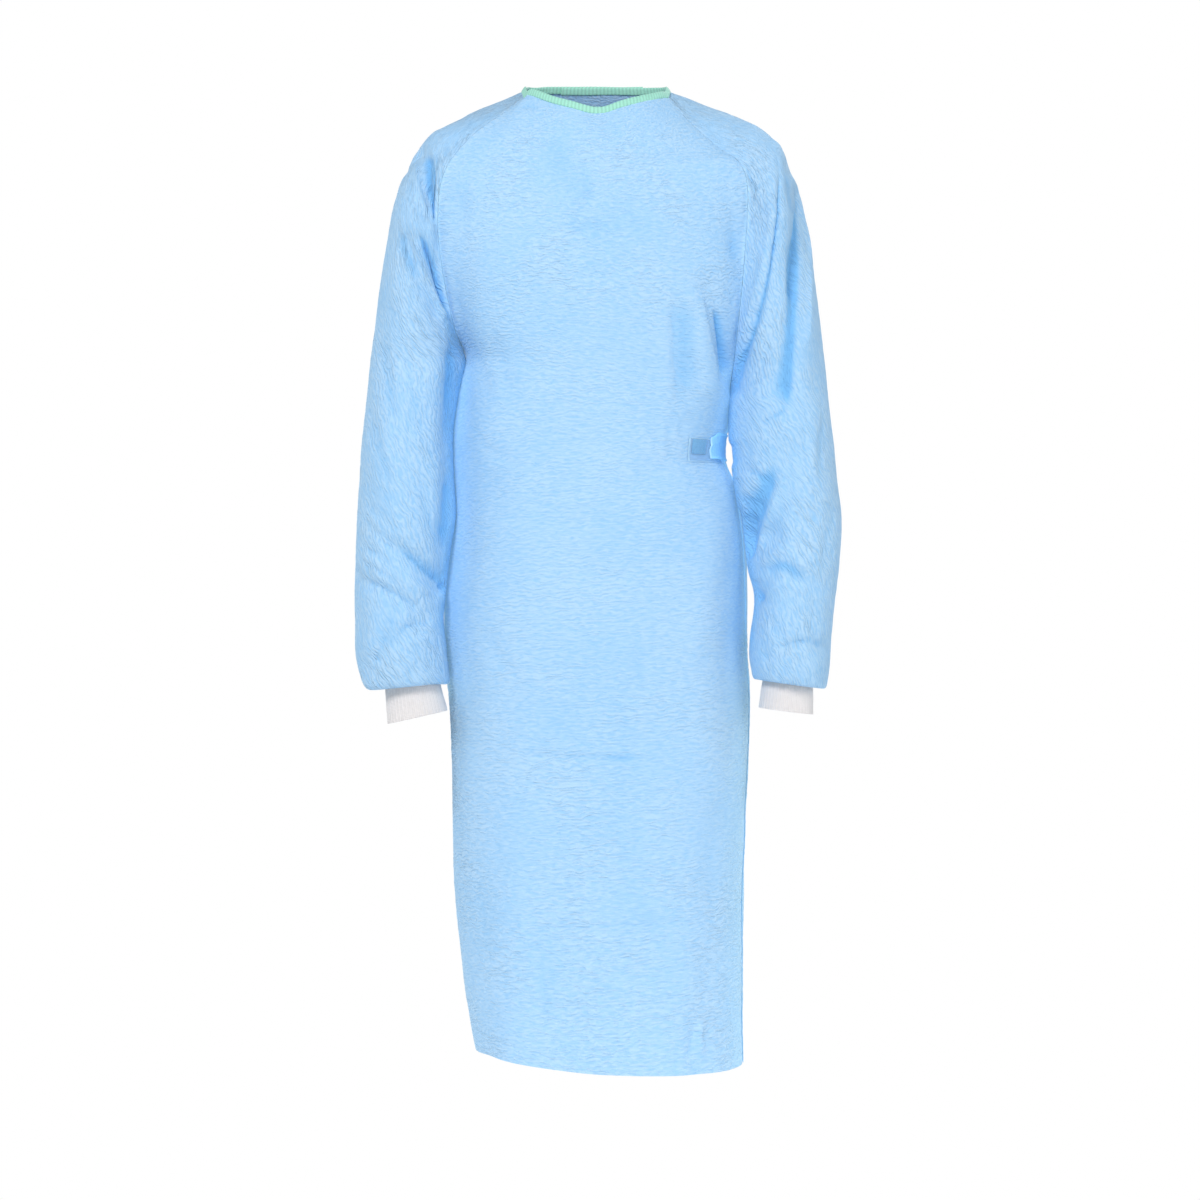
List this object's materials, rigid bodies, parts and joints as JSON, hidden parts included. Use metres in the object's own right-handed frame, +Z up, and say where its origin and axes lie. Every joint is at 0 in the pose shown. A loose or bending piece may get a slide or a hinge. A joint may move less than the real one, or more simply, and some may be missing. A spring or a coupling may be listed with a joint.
{
  "type": "surgical gown",
  "caption": "Long-sleeved crepe nonwoven gown in its worn, hollow shape, with a bound round neck, a back lap tied at the side of the waist and knit cuffs.",
  "frame": {"origin": "middle of the neck opening, level with the sides of the neck, where the wearer's neck and shoulders hold the gown up", "axes": "+Z up along the wearer, the front of the gown faces -Y, +X towards the wearer's left sleeve"},
  "size_m": [0.5597, 0.26, 1.1427],
  "materials": {
    "crepe": "light blue crinkled nonwoven, satin matte",
    "knit": "white fine rib knit",
    "binding": "mint green bound tape",
    "film": "thin translucent film over cloth",
    "square": "bonded cloth, deeper blue",
    "tab": "white hook-and-loop tape"
  },
  "bodies": {
    "root": {"front_panel": "crepe", "back_panel_left": "crepe", "back_panel_right": "crepe", "sleeve_left": "crepe", "sleeve_right": "crepe", "waist_tie": "crepe", "cuff_left": "knit", "cuff_right": "knit", "neck_binding": "binding", "tie_patch": "film", "tie_square": "square", "neck_tab": "tab"}
  },
  "joints": []
}
